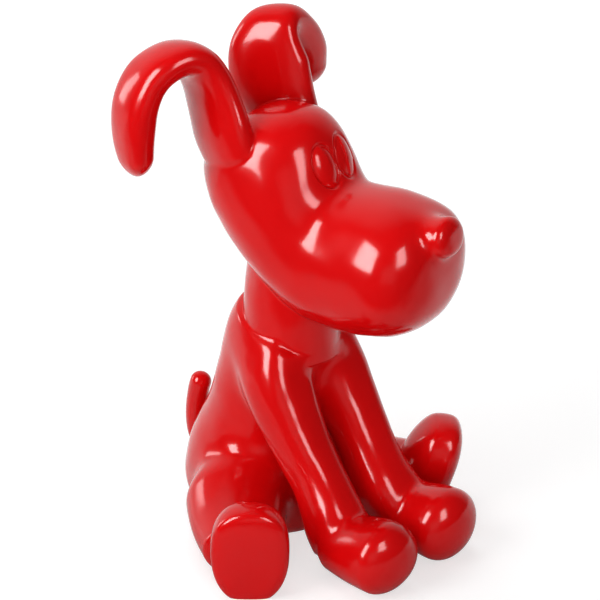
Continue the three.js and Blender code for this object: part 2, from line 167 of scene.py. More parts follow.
class Form:
    """A smooth solid swept along a curve, known both as a surface and as a depth field.

    A point of the surface is the curve's middle, plus the section's across value times the half
    width, plus its up value times the half depth. The depth field is that relation turned round:
    it tells how far a point lies outside the surface, or inside it where negative.
    """

    FINE_STEPS = 1601
    SAMPLES = 48
    KNOTS = 40
    SLACK = 26.0
    BOX_CELL = 14.0
    BOX_SIDES = 20
    DOME_RUN = 1.2
    DOME_CROWDING = 1.6
    PROBE = 0.05
    LEAST_SLOPE = 0.15
    EGG_LIMIT = 1.3

    def __init__(self, rows: Array, across: tuple[float, float, float] | None, placing: Placing,
                 start: Dome, end: Dome, power: float = 2.0, dish: float = 0.0) -> None:
        """Space the stations evenly along the middle curve.

        Args:
            rows: x, y, z, half width, half depth, egg, and the up direction's x, y, z.
            across: the direction of the width, or None where the rows give the up direction.
            placing: where the form stands.
            start: the rounding of its first end.
            end: the rounding of its last end.
            power: 2 for an elliptic section, more for a squarer one.
            dish: how much the lower side of the section is hollowed, from 0 to 1.
        """
        rough = Spline(rows, 1.0)
        fine = rough.at(np.linspace(0, 1, self.FINE_STEPS))[0]
        steps = np.linalg.norm(np.diff(fine[:, :3], axis=0), axis=1)
        run = np.concatenate([[0], np.cumsum(steps)])
        self.length = float(run[-1])
        even = np.linspace(0, self.length, self.KNOTS)
        knots = np.stack([np.interp(even, run, column) for column in fine.T], axis=-1)
        self.spline = Spline(knots, self.length)
        self.across = None if across is None else np.array(across, float)
        self.placing = placing
        self.start = start
        self.end = end
        self.power = power
        self.dish = dish
        grid = self.surface(self.BOX_CELL, self.BOX_SIDES)[0].reshape(-1, 3)
        self.low = grid.min(axis=0) - self.SLACK
        self.high = grid.max(axis=0) + self.SLACK

    def section_at(self, place: Array) -> tuple[Array, ...]:
        """Read the section at places along the curve.

        Args:
            place: distances along the curve.

        Returns:
            Middle, across direction, up direction, the section plane's normal, half width, half
            depth and egg.
        """
        value, slope = self.spline.at(place)
        ahead = unit(slope[:, :3])
        if self.across is None:
            side = np.broadcast_to(np.array([1.0, 0, 0]), ahead.shape)
            rise = unit(value[:, 6:9])
            normal = np.cross(rise, side)
        else:
            side = unit(self.across - dot(ahead, self.across)[:, None] * ahead)
            rise = np.cross(ahead, side)
            normal = ahead
        end = self.spline.at(np.clip(place, 0, self.length))[0]
        return value[:, :3], side, rise, normal, end[:, 3], end[:, 4], end[:, 5]

    def stops(self, cell: float) -> tuple[Array, Array]:
        """Choose the rings of the surface, about one cell apart.

        In a dome the distance is its length times 1 - cos(a) ** (2 / square) and the share of the
        full size is sin(a) ** (2 / square).

        Args:
            cell: the distance between rings, in millimetres.

        Returns:
            Distances along the curve, and the share of the full size at each.
        """
        reach = float(self.spline.rows[:, 3:5].mean())
        places, shares = [], []
        for dome, low, sign in ((self.start, 0.0, 1.0), (self.end, self.length, -1.0)):
            if dome.length > 0:
                run = self.DOME_RUN * (reach + dome.length)
                count = max(6, int(run / cell / self.DOME_CROWDING))
                angle = np.linspace(0, math.pi / 2, count + 1)[1:-1]
                place = low + sign * dome.length * (1 - np.cos(angle) ** (2 / dome.square))
                share = np.sin(angle) ** (2 / dome.square)
                places.append(place[::int(sign)])
                shares.append(share[::int(sign)])
            else:
                places.append(np.zeros(0))
                shares.append(np.zeros(0))
        first, last = self.start.length, self.length - self.end.length
        middle = np.linspace(first, last, max(3, int((self.length - first - self.end.length) / cell)))
        return (np.concatenate([places[0], middle, places[1]]),
                np.concatenate([shares[0], np.ones(len(middle)), shares[1]]))

    def surface(self, cell: float, sides: int) -> tuple[Array, Array]:
        """Work out the surface as a grid of rings with a pole at each end.

        Args:
            cell: the distance between rings, in millimetres.
            sides: points on each ring.

        Returns:
            The grid of points, rings by sides, and the two poles.
        """
        places, shares = self.stops(cell)
        middle, side, rise, _, half, deep, egg = self.section_at(places)
        angle = np.linspace(0, 2 * math.pi, sides, endpoint=False)
        cos, sin = np.cos(angle), np.sin(angle)
        reach = (np.abs(cos) ** self.power + np.abs(sin) ** self.power) ** (-1 / self.power)
        up = np.broadcast_to(sin * reach, (len(places), sides))
        out = (cos * reach)[None] * (1 + egg[:, None] * up)
        hollow = 1 - self.dish * (1 - np.clip(out, -1, 1) ** 2)
        up = np.where(up < 0, up * hollow, up)
        grid = (middle[:, None] + (shares * half)[:, None, None] * out[..., None] * side[:, None]
                + (shares * deep)[:, None, None] * up[..., None] * rise[:, None])
        ends = self.section_at(np.array([0.0, self.length]))[0]
        return (self.placing.outward(grid.reshape(-1, 3)).reshape(grid.shape),
                self.placing.outward(ends))

    def seek(self, points: Array) -> Array:
        """Find roughly which section each point belongs to.

        The right section is the nearest of those whose plane the point crosses between two
        samples, or an end's plane where the point lies past it.

        Args:
            points: points in the form's own frame.

        Returns:
            Distances along the curve.
        """
        samples = np.linspace(0, self.length, self.SAMPLES)
        middle, _, _, normal, *_ = self.section_at(samples)
        gap = points[:, None] - middle[None]
        ahead = np.einsum("pkc,kc->pk", gap, normal)
        far = np.linalg.norm(gap, axis=-1)
        crossed = (ahead[:, :-1] >= 0) & (ahead[:, 1:] < 0)
        cost = np.full((len(points), self.SAMPLES + 1), np.inf)
        cost[:, 1:-1] = np.where(crossed, far[:, :-1], np.inf)
        cost[:, 0] = np.where(ahead[:, 0] < 0, far[:, 0], np.inf)
        cost[:, -1] = np.where(ahead[:, -1] >= 0, far[:, -1], np.inf)
        best = np.argmin(cost, axis=1)
        row = np.arange(len(points))
        index = np.clip(best - 1, 0, self.SAMPLES - 2)
        near, next_one = ahead[row, index], ahead[row, index + 1]
        span = samples[1]
        inside = samples[index] + span * near / np.where(near - next_one > 0, near - next_one, 1)
        place = np.where(best == 0, ahead[:, 0], inside)
        return np.where(best == self.SAMPLES, self.length + ahead[:, -1], place)

    def depth(self, points: Array, place: Array | None = None,
              passes: int = 2) -> tuple[Array, Array]:
        """Measure how far points lie outside the surface.

        With g the section's own radius of the point, 1 on its outline, and z how far into a dome
        it lies, the reach G is (g ** n + z ** n) ** (1 / n), and the depth is the point's distance
        from the middle times (G - 1) / G.

        Args:
            points: points of the dog.
            place: sections found before, if any.
            passes: how often to sharpen the section found.

        Returns:
            The depths, and the sections found.
        """
        own = self.placing.inward(points)
        place = self.seek(own) if place is None else place
        limit = self.length / self.SAMPLES
        for _ in range(passes):
            middle, _, _, normal, *_ = self.section_at(place)
            ahead = dot(own - middle, normal)
            middle, _, _, normal, *_ = self.section_at(place + self.PROBE)
            slope = (dot(own - middle, normal) - ahead) / self.PROBE
            slope = np.where(np.abs(slope) < self.LEAST_SLOPE, -self.LEAST_SLOPE, slope)
            place = place - np.clip(ahead / slope, -limit, limit)
        middle, side, rise, _, half, deep, egg = self.section_at(place)
        gap = own - middle
        wide, tall = dot(gap, side), dot(gap, rise)
        up = tall / deep
        out = wide / half / (1 + egg * np.clip(up, -self.EGG_LIMIT, self.EGG_LIMIT))
        hollow = 1 - self.dish * (1 - np.clip(out, -1, 1) ** 2)
        up = np.where(up < 0, up / hollow, up)
        radius = (np.abs(out) ** self.power + np.abs(up) ** self.power) ** (1 / self.power)
        axial = np.zeros(len(points))
        for dome, into in ((self.start, self.start.length - place),
                           (self.end, place - self.length + self.end.length)):
            if dome.length > 0:
                share = np.maximum(into / dome.length, 0)
                radius = (radius ** dome.square + share ** dome.square) ** (1 / dome.square)
                axial = axial + np.maximum(into, 0)
        distance = np.sqrt(wide ** 2 + tall ** 2 + axial ** 2)
        radius = np.maximum(radius, 1e-6)
        return distance * (radius - 1) / radius, place


def limb(stations: Rows | Array, across: tuple[float, float, float], placing: Placing,
         start: Dome, end: Dome, egg: float = 0.0, **shape: float) -> Form:
    """Make a form from stations along a limb.

    Args:
        stations: x, y, z, half width and half depth of each.
        across: the direction of the width.
        placing: where the form stands.
        start: the rounding of its first end.
        end: the rounding of its last end.
        egg: how much the section widens towards its upper side.
        shape: power and dish of the section.

    Returns:
        The form.
    """
    rows = np.array([[*row, egg, 0, 0, 0] for row in stations], float)
    return Form(rows, across, placing, start, end, **shape)


def loft(profile: Rows, placing: Placing, start: Dome, end: Dome,
         power: float = 2.0) -> Form:
    """Make a form between an upper and a lower line in the plane of symmetry.

    Args:
        profile: upper y and z, lower y and z, half width and egg of each section.
        placing: where the form stands.
        start: the rounding of its first end.
        end: the rounding of its last end.
        power: 2 for an elliptic section, more for a squarer one.

    Returns:
        The form.
    """
    table = np.array(profile, float)
    upper, lower = table[:, 0:2], table[:, 2:4]
    middle, rise = (upper + lower) / 2, (upper - lower) / 2
    flat = np.zeros((len(table), 1))
    rows = np.concatenate([
        flat, middle, table[:, 4:5], np.linalg.norm(rise, axis=1)[:, None], table[:, 5:6],
        flat, rise], axis=1)
    return Form(rows, None, placing, start, end, power)


# The dog's own forms, in millimetres, close to those of the CAD source

@dataclass
class Trunk:
    """Rump, belly, back, chest and neck."""

    profile: Rows = (
        (-58, 1, 51, 1, 48, 0),
        (-61.5, 9, 62, 12, 57.5, 0),
        (-59.5, 25.5, 67.5, 27, 60, 0),
        (-54, 44, 66.5, 45, 58.5, 0),
        (-48, 67, 60.5, 67, 53.5, 0),
        (-48, 93, 48, 94, 47, 0),
        (-53, 123, 37, 125, 44.5, 0),
        (-59, 144, 30.5, 152, 43.5, 0),
        (-66, 157.5, 21, 182, 42, 0),
        (-65.5, 169, 9.5, 199, 37.5, 0),
    )
    neck_stations: Rows = (
        (0, -31, 150, 38.5, 38.5),
        (0, -31, 182, 38.5, 38.5),
        (0, -32, 212, 38.3, 38.3),
        (0, -36, 259, 35, 35),
    )
    shoulders: Dome = Dome(7, 2.4)
    neck_end: Dome = Dome(6)

    def torso(self) -> Form:
        """Make the trunk's main form."""
        return loft(self.profile, Placing(), Dome(), self.shoulders)

    def neck(self) -> Form:
        """Make the neck, from inside the chest to inside the head."""
        return limb(self.neck_stations, (1, 0, 0), Placing(), self.neck_end, self.neck_end)


@dataclass
class Head:
    """Skull and muzzle, nose, ears and eyes, turned a little on the neck."""

    turn: float = 10.5
    ear_turn: float = 5.0
    neck_axis: tuple[float, float, float] = (0.0, -31.0, 0.0)
    profile: Rows = (
        (-144.5, 304, -145.5, 208, 57, 0),
        (-129, 305, -121, 202.5, 60, 0),
        (-107, 309.5, -98.5, 198, 61.8, 0),
        (-85, 311.5, -74.5, 194.5, 60.3, -0.02),
        (-64, 310.5, -50.5, 194, 58, -0.04),
        (-51, 314, -27, 198.5, 57, -0.06),
        (-42.5, 330.5, -4, 210.5, 57, -0.08),
        (-30.5, 352, 16, 226.5, 57.8, -0.08),
        (-6, 365, 35, 245.5, 57, -0.04),
        (27.5, 360, 53.5, 269.5, 52, 0),
        (51.5, 350, 69, 285.5, 46, 0),
        (67.5, 345, 77.5, 289, 42.5, 0),
    )
    skull_power: float = 2.2
    nose_stations: Rows = (
        (0, -108, 283, 14, 12),
        (0, -122, 285.5, 17, 14),
        (0, -138, 289, 18.5, 15.5),
        (0, -153.5, 292.5, 18, 15.5),
    )
    right_ear_stations: Rows = (
        (-35, 28, 318, 31.5, 17),
        (-37.5, 38.5, 347, 35.5, 18),
        (-38.5, 49, 379.5, 34, 16.5),
        (-51, 56.5, 407.5, 28, 16),
        (-72, 65, 411.5, 26, 16),
        (-92.5, 74.5, 394, 25, 16.5),
        (-102, 76.3, 358.5, 22, 16),
        (-101.5, 71.5, 321, 14.5, 12),
    )
    left_ear_stations: Rows = (
        (-33, 27, 318, 27, 17),
        (-33.5, 38, 347, 31, 17.5),
        (-33.5, 51, 380, 34.5, 16.5),
        (-42.5, 54.5, 406, 24.5, 16.5),
        (-59, 56.5, 405, 22, 16),
        (-78, 60.5, 384, 24.5, 15),
        (-91, 64, 360, 22, 15.5),
        (-94, 60, 337, 16, 13),
    )
    ear_across: tuple[float, float, float] = (0.31, 0.93, -0.2)
    ear_dish: float = 0.2
    muzzle_front: Dome = Dome(42, 2.6)
    skull_back: Dome = Dome(40)
    nose_root: Dome = Dome(6)
    nose_tip: Dome = Dome(9, 2.5)
    ear_root: Dome = Dome(14)
    ear_tip: Dome = Dome(16)

    def skull(self) -> Form:
        """Make skull and muzzle as one form."""
        return loft(self.profile, Placing(False, self.turn, self.neck_axis),
                    self.muzzle_front, self.skull_back, self.skull_power)

    def nose(self) -> Form:
        """Make the nose knob."""
        return limb(self.nose_stations, (1, 0, 0), Placing(False, self.turn, self.neck_axis),
                    self.nose_root, self.nose_tip)

    def ear(self, side: Side) -> Form:
        """Make one ear, from inside the skull over its arch to its hanging tip."""
        stations = self.right_ear_stations if side is Side.RIGHT else self.left_ear_stations
        return limb(stations, self.ear_across,
                    Placing(side is Side.LEFT, self.ear_turn, self.neck_axis),
                    self.ear_root, self.ear_tip, dish=self.ear_dish)


@dataclass
class ForeLimb:
    """A front leg and its paw."""

    side: Side
    arm_stations: Rows = (
        (-19, -24, 181, 13, 21),
        (-25.5, -33, 162, 19.5, 24),
        (-30.5, -45, 138, 25, 25.5),
        (-31.5, -66, 103, 23.5, 23),
    )
    right_ankle: Rows = (
        (-32.3, -92, 70, 20.8, 21.5),
        (-36, -113, 44, 22.8, 24.5),
        (-37.5, -128, 22, 23.8, 22.5),
    )
    left_ankle: Rows = (
        (-28.5, -92, 70, 22.5, 21.5),
        (-27, -113, 44, 26, 24.5),
        (-34, -128, 22, 24.8, 22.5),
    )
    paw_stations: Rows = (
        (-37, -113, 24, 24, 22),
        (-37.5, -133, 26, 28.5, 25.5),
        (-37.5, -156, 28.5, 31.5, 28.8),
        (-37.5, -174, 29.5, 32, 30),
        (-38, -190.5, 29, 29.8, 29),
    )
    left_set_back: float = 3.0
    leg_power: float = 2.6
    shoulder: Dome = Dome(20)
    wrist: Dome = Dome(8, 2.8)
    heel: Dome = Dome(12)
    toes: Dome = Dome(21)

    def leg(self) -> Form:
        """Make the leg, from inside the chest to the paw."""
        ankle = self.left_ankle if self.side is Side.LEFT else self.right_ankle
        return limb(self.arm_stations + ankle, (1, 0, 0), Placing(self.side is Side.LEFT),
                    self.shoulder, self.wrist, power=self.leg_power)

    def paw(self) -> Form:
        """Make the paw."""
        set_back = self.left_set_back if self.side is Side.LEFT else 0.0
        return limb(self.paw_stations, (1, 0, 0),
                    Placing(self.side is Side.LEFT, shift=(0.0, set_back, 0.0)),
                    self.heel, self.toes)


@dataclass
class HindLimb:
    """A haunch that lies along the ground, and its upright foot."""

    side: Side
    haunch_stations: Rows = (
        (-32, 1.5, 40, 39.5, 40),
        (-50, -16, 33, 40.5, 35.5),
        (-72, -40, 26.5, 38, 28),
        (-91, -61, 23.5, 32.5, 24),
        (-106, -78.5, 22.5, 28.5, 22),
    )
    foot_stations: Rows = (
        (46, 20, 27),
        (31, 27.5, 38.5),
        (15, 31, 43),
        (0, 30.5, 42),
    )
    splay: float = 46.0
    foot_egg: float = -0.1
    foot_power: float = 2.4
    hip: Dome = Dome(35)
    ankle: Dome = Dome(13)
    heel: Dome = Dome(20)

    @property
    def sole(self) -> tuple[float, float, float]:
        """Give the middle of the sole, which differs a little from side to side."""
        return (-126, -107.5, 36) if self.side is Side.RIGHT else (-108, -110.5, 31.5)

    @property
    def lean(self) -> float:
        """Give how far the foot leans back, in degrees."""
        return 6.0 if self.side is Side.RIGHT else 18.0

    @property
    def sole_edge(self) -> Dome:
        """Give the rounding of the sole's edge, which is softer on the left."""
        return Dome(12, 5) if self.side is Side.RIGHT else Dome(17, 3.2)

    @property
    def offset(self) -> Array:
        """Give how far the haunch is set from where its mirror image lies."""
        return np.array([0, 0, 0] if self.side is Side.RIGHT else [4, -5, 0], float)

    def haunch(self) -> Form:
        """Make the haunch."""
        angle = math.radians(self.splay)
        across = (-math.cos(angle), math.sin(angle), 0)
        table = np.array(self.haunch_stations, float)
        table[:, :3] += self.offset
        return limb(table, across, Placing(self.side is Side.LEFT), self.hip, self.ankle)

    def foot(self) -> Form:
        """Make the foot, which ends in a soft-edged sole."""
        angle, lean = math.radians(self.splay), math.radians(self.lean)
        out = np.array([-math.sin(angle) * math.cos(lean), -math.cos(angle) * math.cos(lean),
                        -math.sin(lean)])
        table = np.array([[*(np.array(self.sole) - back * out), half, tall]
                          for back, half, tall in self.foot_stations])
        return limb(table, (-math.cos(angle), math.sin(angle), 0), Placing(self.side is Side.LEFT),
                    self.heel, self.sole_edge, egg=self.foot_egg, power=self.foot_power)


@dataclass
class Tail:
    """The upright stub of a tail."""

    stations: Rows = (
        (0, 54, 24, 10, 10),
        (0, 74, 37, 9.5, 9.5),
        (0, 78.5, 57, 9.2, 9.2),
        (0, 76.5, 78, 9.2, 9.2),
        (0, 70, 95, 8.8, 8.8),
    )
    root: Dome = Dome(6)
    tip: Dome = Dome(8)

    def form(self) -> Form:
        """Make the tail."""
        return limb(self.stations, (1, 0, 0), Placing(), self.root, self.tip)


# The shared surface

def soft_min(first: Array, second: Array, blend: float) -> Array:
    """Join two depth fields with a fillet.

    With h = 1 - |a - b| / blend where that is positive, the joint is min(a, b) - h ** 3 blend / 6.

    Args:
        first: depths to one form.
        second: depths to the other.
        blend: how far the fillet reaches, in millimetres.

    Returns:
        Depths to both forms and the fillet between them.
    """
    share = np.maximum(1 - np.abs(first - second) / blend, 0)
    return np.minimum(first, second) - share ** 3 * blend / 6


@dataclass
class Joint:
    """One step of the tree that joins the forms: a group, what it joins, and its fillet."""

    group: str
    parts: tuple[str, ...]
    blend: float


@dataclass
class HandFinish:
    """The slight waviness that sanding by hand leaves under the lacquer."""

    steepness: float = 0.018
    waves: tuple[tuple[float, float, float, float], ...] = (
        (0.062, 0.041, 0.087, 0.4), (-0.083, 0.071, 0.034, 1.9), (0.031, -0.094, 0.066, 3.1),
        (0.109, 0.052, -0.048, 4.4), (-0.046, -0.063, 0.121, 5.2), (0.073, -0.118, -0.052, 0.9),
        (0.190, -0.140, 0.120, 2.3), (-0.110, 0.210, 0.160, 5.6), (0.080, 0.120, -0.240, 0.2),
    )

    def lift(self, points: Array) -> Array:
        """Add up equally steep sine waves of 20 to 70 mm in several directions."""
        total = np.zeros(len(points))
        for *wave, phase in self.waves:
            total += np.sin(points @ np.array(wave) + phase) / np.linalg.norm(wave)
        return total * self.steepness


class Casting:
    """All the lacquered forms and the one surface that they share."""

    REMOTE = 90.0
    REACH = 27.0
    PROBE = 0.04
    LONGEST_MOVE = 4.0
    LEAST_SLOPE = 0.2

    def __init__(self, forms: dict[str, Form], joints: list[Joint], finish: HandFinish,
                 eyes: list["Eye"]) -> None:
        """Keep the forms, the order in which they are joined, and the eyes set into the skull."""
        self.forms = forms
        self.joints = joints
        self.finish = finish
        self.eyes = eyes

    def depths(self, points: Array, places: dict[str, Array], names: list[str],
               passes: int = 2) -> dict[str, Array]:
        """Measure the depth to each form near the points.

        Args:
            points: points of the dog.
            places: sections found before, by form; it is filled in and kept up to date.
            names: the forms to measure.
            passes: how often to sharpen each section found.

        Returns:
            Depths by form, with a large one where a form is far away.
        """
        found = {}
        for name in names:
            form = self.forms[name]
            near = np.all((points > form.low) & (points < form.high), axis=1)
            depth = np.full(len(points), self.REMOTE)
            known = places.get(name)
            if known is None:
                known = np.full(len(points), np.nan)
            if near.any():
                fresh = near & np.isnan(known)
                if fresh.any():
                    known[fresh] = form.seek(form.placing.inward(points[fresh]))
                depth[near], known[near] = form.depth(points[near], known[near], passes)
            places[name] = known
            found[name] = depth
        return found

    def join(self, found: dict[str, Array]) -> Array:
        """Join the depths along the tree of fillets."""
        left = dict(found)
        for joint in self.joints:
            members = [left.pop(part) for part in joint.parts if part in left]
            if not members:
                continue
            total = members[0]
            for other in members[1:]:
                total = soft_min(total, other, joint.blend)
            left[joint.group] = total
        total = None
        for value in left.values():
            total = value if total is None else np.minimum(total, value)
        return total

    def measure(self, points: Array, places: dict[str, Array], names: list[str],
                passes: int = 2) -> Array:
        """Measure the depth of points under the shared surface."""
        depth = self.join(self.depths(points, places, names, passes)) - self.finish.lift(points)
        if "skull" in names:
            for eye in self.eyes:
                depth = depth + eye.pocket(points)
        return depth

    def slope(self, points: Array, places: dict[str, Array], names: list[str]) -> Array:
        """Work out which way the depth grows, by central differences."""
        columns = []
        for axis in np.eye(3):
            ahead = self.measure(points + self.PROBE * axis, dict(places), names, 1)
            behind = self.measure(points - self.PROBE * axis, dict(places), names, 1)
            columns.append((ahead - behind) / (2 * self.PROBE))
        return np.stack(columns, axis=-1)

    def settle(self, points: Array, owner: str, near: list[str]) -> tuple[Array, Array]:
        """Draw a form's points onto the shared surface.

        A point outside every other form goes to depth zero of the joined field. One that lies
        inside a neighbour keeps the depth that it had under it, so the surface runs on below.
        Each pass moves a point by (target - depth) / |slope| ** 2 along the slope.

        Args:
            points: the form's own surface points.
            owner: the form's name.
            near: its neighbours' names.

        Returns:
            The settled points and the surface's outward normals there.
        """
        found = self.depths(points, {}, near)
        others = np.full(len(points), self.REMOTE)
        for name in near:
            others = np.minimum(others, found[name])
        moved, normals = points.copy(), np.empty_like(points)
        close = others < self.REACH
        for part, names, passes in ((close, [owner, *near], 3), (~close, [owner], 1)):
            if not part.any():
                continue
            places: dict[str, Array] = {}
            target = np.minimum(others[part], 0)
            spots = moved[part]
            for _ in range(passes):
                gap = target - self.measure(spots, places, names)
                slope = self.slope(spots, places, names)
                step = gap / np.maximum(dot(slope, slope), self.LEAST_SLOPE)
                step = np.clip(step, -self.LONGEST_MOVE, self.LONGEST_MOVE)
                spots = spots + step[:, None] * slope
            moved[part] = spots
            normals[part] = unit(self.slope(spots, places, names))
        return moved, normals


@dataclass
class Eye:
    """An oval bead bedded in the brow inside a groove, with its pupil a shallow recess.

    The eye is laid out in a plane that faces forward and up, across and up along the brow, and
    pressed onto the skull along that direction. Its radius is 1 on the oval's outline.
    """

    side: Side
    placing: Placing
    rise: tuple[float, float, float] = (0.0, 0.47, 0.883)
    forward: tuple[float, float, float] = (0.0, -0.883, 0.47)
    apart: float = 12.8
    pair_middle: float = 0.7
    place: tuple[float, float] = (-42.2, 330.0)
    tilt: float = 5.4
    half: float = 12.2
    tall: float = 17.8
    proud: float = 2.5
    roundness: float = 0.6
    groove: float = 1.6
    groove_width: float = 1.15
    pupil_edge: float = 0.12
    pupil_rim: float = 0.9
    pupil_depth: float = 1.5
    rim: float = 1.42
    bed: float = 2.6
    bed_rim: float = 1.32
    bed_fade: float = 0.16
    edge_fade: float = 0.07
    face_depth: float = 25.0

    @property
    def centre(self) -> Array:
        """Give the eye's middle in its own frame, where the face's middle is towards +X."""
        return np.array([self.meeting - self.apart, *self.place])

    @property
    def meeting(self) -> float:
        """Give the X of the line between the two eyes in this eye's own frame."""
        return self.pair_middle if self.side is Side.RIGHT else -self.pair_middle

    def spread(self, points: Array) -> tuple[Array, Array, Array]:
        """Tell where points of the dog lie on the eye.

        Args:
            points: points of the dog.

        Returns:
            Across and up along the oval, in units of its half width and half height, and the
            distance in front of its plane in millimetres.
        """
        gap = self.placing.inward(points) - self.centre
        cos, sin = math.cos(math.radians(self.tilt)), math.sin(math.radians(self.tilt))
        wide, high = gap[:, 0], gap @ np.array(self.rise)
        return ((wide * cos + high * sin) / self.half, (high * cos - wide * sin) / self.tall,
                gap @ np.array(self.forward))

    def pocket(self, points: Array) -> Array:
        """Tell how far the skull is hollowed under the bead and its groove."""
        across, up, ahead = self.spread(points)
        share = np.clip((self.bed_rim - np.hypot(across, up)) / self.bed_fade, 0, 1)
        return np.where(np.abs(ahead) < self.face_depth, self.bed * share ** 2 * (3 - 2 * share), 0)

    def relief(self, points: Array) -> Array:
        """Work out the height of bead, pupil and groove over the skull.

        The bead stands (proud + groove) (1 - r ** 2) ** roundness over the groove's floor, and the
        pupil lowers it past a line across it. The groove is a bell curve outside the outline.
        """
        across, up, ahead = self.spread(points)
        radius = np.hypot(across, up)
        dome = (self.proud + self.groove) * np.maximum(1 - radius ** 2, 0) ** self.roundness
        inner = np.clip((across - self.pupil_edge) / self.edge_fade + 0.5, 0, 1)
        inner = inner * np.clip((self.pupil_rim - radius) / self.edge_fade + 0.5, 0, 1)
        dome = dome - self.groove - self.pupil_depth * inner ** 2 * (3 - 2 * inner)
        gap = (radius - 1) * self.half
        bell = -self.groove * np.exp(-(gap / self.groove_width) ** 2)
        return np.where(np.abs(ahead) < self.face_depth, np.where(radius < 1, dome, bell), 0)


@dataclass
class EyeBead:
    """The surface of one eye and of the brow just around it."""

    eye: Eye
    rings: int = 96
    sides: int = 240
    thick: float = 4.0
    over: float = 0.03
    passes: int = 10
    under_step: int = 8

    def work_out(self, casting: Casting) -> tuple[Array, Array, int]:
        """Lay the eye out in rings, press it onto the skull and close it underneath.

        The rings end where the neighbouring eye's begin, on the line between the two.

        Args:
            casting: the surface that the eye is set into.

        Returns:
            Points with the two poles last, their normals, and the number of rings.
        """
        eye = self.eye
        angle = np.linspace(0, 2 * math.pi, self.sides, endpoint=False)
        tilt = math.radians(eye.tilt)
        wide = np.cos(angle) * eye.half * math.cos(tilt) - np.sin(angle) * eye.tall * math.sin(tilt)
        high = np.cos(angle) * eye.half * math.sin(tilt) + np.sin(angle) * eye.tall * math.cos(tilt)
        limit = np.where(wide > 0, eye.apart / np.maximum(wide, 1e-6), eye.rim)
        reach = np.minimum(eye.rim, limit)
        share = np.linspace(0, 1, self.rings + 1)[:, None] * reach[None]
        flat = (eye.centre + (share * wide)[..., None] * np.array([1.0, 0, 0])
                + (share * high)[..., None] * np.array(eye.rise))
        forward = np.array(eye.forward)
        skull = casting.forms["skull"]
        rest = flat.reshape(-1, 3)
        for _ in range(self.passes):
            world = eye.placing.outward(rest)
            gap = skull.depth(world)[0] - casting.finish.lift(world)
            rest = rest - gap[:, None] * forward
        world = eye.placing.outward(rest)
        relief = sum(one.relief(world) for one in casting.eyes) + self.over
        top = eye.placing.outward(rest + relief[:, None] * forward).reshape(flat.shape)
        around = np.roll(top, -1, axis=1) - np.roll(top, 1, axis=1)
        normals = unit(np.cross(around, np.gradient(top, axis=0, edge_order=2)))
        if eye.placing.flipped:
            normals = -normals
        normals[0] = unit(normals[1].mean(axis=0))
        under = eye.placing.outward(rest - self.thick * forward).reshape(flat.shape)
        under = under[::-self.under_step]
        points = np.concatenate([top[1:].reshape(-1, 3), under[:-1].reshape(-1, 3),
                                 top[0, :1], under[-1, :1]])
        below = -normals[::-self.under_step][:-1]
        below[0] = normals[-1]
        facing = np.concatenate([normals[1:].reshape(-1, 3), below.reshape(-1, 3),
                                 normals[0, :1], -normals[0, :1]])
        return points, facing, self.rings + len(under) - 1


def grid_faces(rings: int, sides: int) -> list[tuple[int, ...]]:
    """List the faces of a closed grid of rings whose two poles follow its points.

    Args:
        rings: number of rings.
        sides: points on each ring.

    Returns:
        Faces as tuples of vertex numbers: quads between rings, and a fan at each pole.
    """
    ring, side = np.meshgrid(np.arange(rings - 1), np.arange(sides), indexing="ij")
    here = ring * sides + side
    beside = ring * sides + (side + 1) % sides
    quads = np.stack([here, beside, beside + sides, here + sides], axis=-1).reshape(-1, 4)
    turn = np.arange(sides)
    following = (turn + 1) % sides
    last = (rings - 1) * sides
    start = np.stack([np.full(sides, rings * sides), following, turn], axis=-1)
    end = np.stack([np.full(sides, rings * sides + 1), last + turn, last + following], axis=-1)
    return [tuple(face) for part in (quads, start, end) for face in part.tolist()]


def add_object(name: str, data: bpy.types.ID) -> bpy.types.Object:
    """Put an object with its mesh, camera or lamp data into the scene."""
    made = bpy.data.objects.new(name, data)
    bpy.context.scene.collection.objects.link(made)
    return made


def make_piece(name: str, points: Array, normals: Array, faces: list[tuple[int, ...]],
               material: bpy.types.Material) -> bpy.types.Object:
    """Put a worked-out surface into Blender as one smooth piece.

    Args:
        name: the piece's name.
        points: vertices in millimetres.
        normals: outward normals, one per vertex.
        faces: tuples of vertex numbers.
        material: its finish.

    Returns:
        The new object, at the origin.
    """
    mesh = bpy.data.meshes.new(name)
    mesh.from_pydata((points * MM).tolist(), [], faces)
    mesh.update()
    first = mesh.polygons[len(mesh.polygons) // 2]
    if first.normal.dot(Vector(normals[first.vertices[0]])) < 0:
        mesh.flip_normals()
    mesh.polygons.foreach_set("use_smooth", np.ones(len(mesh.polygons), bool))
    mesh.normals_split_custom_set_from_vertices(normals.tolist())
    mesh.materials.append(material)
    return add_object(name, mesh)


# Finishes

def linear(code: str) -> tuple[float, float, float, float]:
    """Turn an sRGB hex colour into the linear colour that a socket takes."""
    parts = [int(code[i:i + 2], 16) / 255 for i in (1, 3, 5)]
    rgb = [c / 12.92 if c <= 0.04045 else ((c + 0.055) / 1.055) ** 2.4 for c in parts]
    return (*rgb, 1.0)


def node(tree: bpy.types.NodeTree, kind: str, settings: dict[str, object] | None = None,
         values: dict[str, object] | None = None,
         links: dict[str, bpy.types.NodeSocket] | None = None) -> bpy.types.Node:
    """Add one node with its settings, socket values and incoming links.

    Args:
        tree: the node tree.
        kind: the node's type name.
        settings: properties of the node itself.
        values: input values by socket name.
        links: sockets to link into inputs, by socket name.

    Returns:
        The node.
    """
    made = tree.nodes.new(kind)
    for key, value in (settings or {}).items():
        setattr(made, key, value)
    for key, value in (values or {}).items():
        made.inputs[key].default_value = value
    for key, socket in (links or {}).items():
        tree.links.new(socket, made.inputs[key])
    return made


